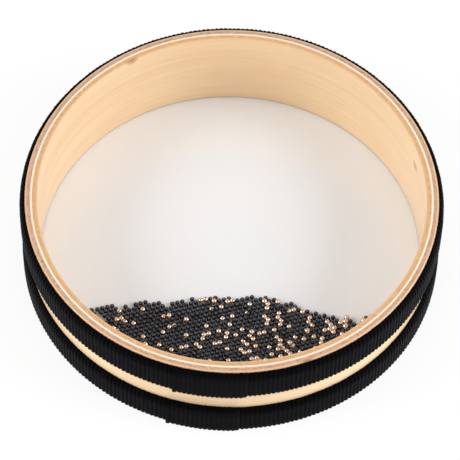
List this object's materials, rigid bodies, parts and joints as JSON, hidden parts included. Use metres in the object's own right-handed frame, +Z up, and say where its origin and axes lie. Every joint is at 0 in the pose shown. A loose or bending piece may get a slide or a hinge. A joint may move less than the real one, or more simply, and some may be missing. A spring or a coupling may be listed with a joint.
{
  "type": "ocean drum",
  "caption": "Shallow round hand drum with a bent plywood shell, a clear upper head, a white lower head, black ribbed ribbons and loose steel beads that roll between the heads like surf.",
  "frame": {"origin": "centre of the lower head's outer face, on the surface that the drum lies on", "axes": "+Z up through the clear head along the drum's axis, -Y toward the player, where the beads are gathered and the ribbons lap, +X to the player's right"},
  "size_m": [0.2576, 0.2586, 0.0625],
  "materials": {
    "face_veneer": "satin lacquered birch veneer",
    "cross_veneer": "end grain of pinkish tan veneer",
    "core_veneer": "cream veneer",
    "clear_film": "clear glossy polyester film",
    "white_film": "white glossy polyester film",
    "ribbed_ribbon": "black ribbed ribbon with a soft sheen",
    "black_steel": "blackened steel, satin",
    "copper_plate": "copper plated steel, polished"
  },
  "bodies": {
    "drum": {"outer_face_ply": "face_veneer", "outer_cross_ply": "cross_veneer", "core_ply": "core_veneer", "inner_cross_ply": "cross_veneer", "inner_face_ply": "face_veneer", "top_head_film": "clear_film", "bottom_head_film": "white_film", "upper_ribbon": "ribbed_ribbon", "lower_ribbon": "ribbed_ribbon"},
    "outer_band": {"outer_band_black_beads": "black_steel", "outer_band_copper_beads": "copper_plate"},
    "middle_band": {"middle_band_black_beads": "black_steel", "middle_band_copper_beads": "copper_plate"},
    "inner_patch": {"inner_patch_black_beads": "black_steel", "inner_patch_copper_beads": "copper_plate", "upper_layer_black_beads": "black_steel", "upper_layer_copper_beads": "copper_plate"}
  },
  "joints": [
    {"name": "outer_band_swirl", "type": "hinge", "parent": "drum", "child": "outer_band", "pos_m": [0, 0, 0.0019], "axis": [0, 0, 1], "continuous": true},
    {"name": "middle_band_swirl", "type": "hinge", "parent": "drum", "child": "middle_band", "pos_m": [0, 0, 0.0019], "axis": [0, 0, 1], "continuous": true},
    {"name": "inner_patch_swirl", "type": "hinge", "parent": "drum", "child": "inner_patch", "pos_m": [0, 0, 0.0019], "axis": [0, 0, 1], "continuous": true}
  ]
}
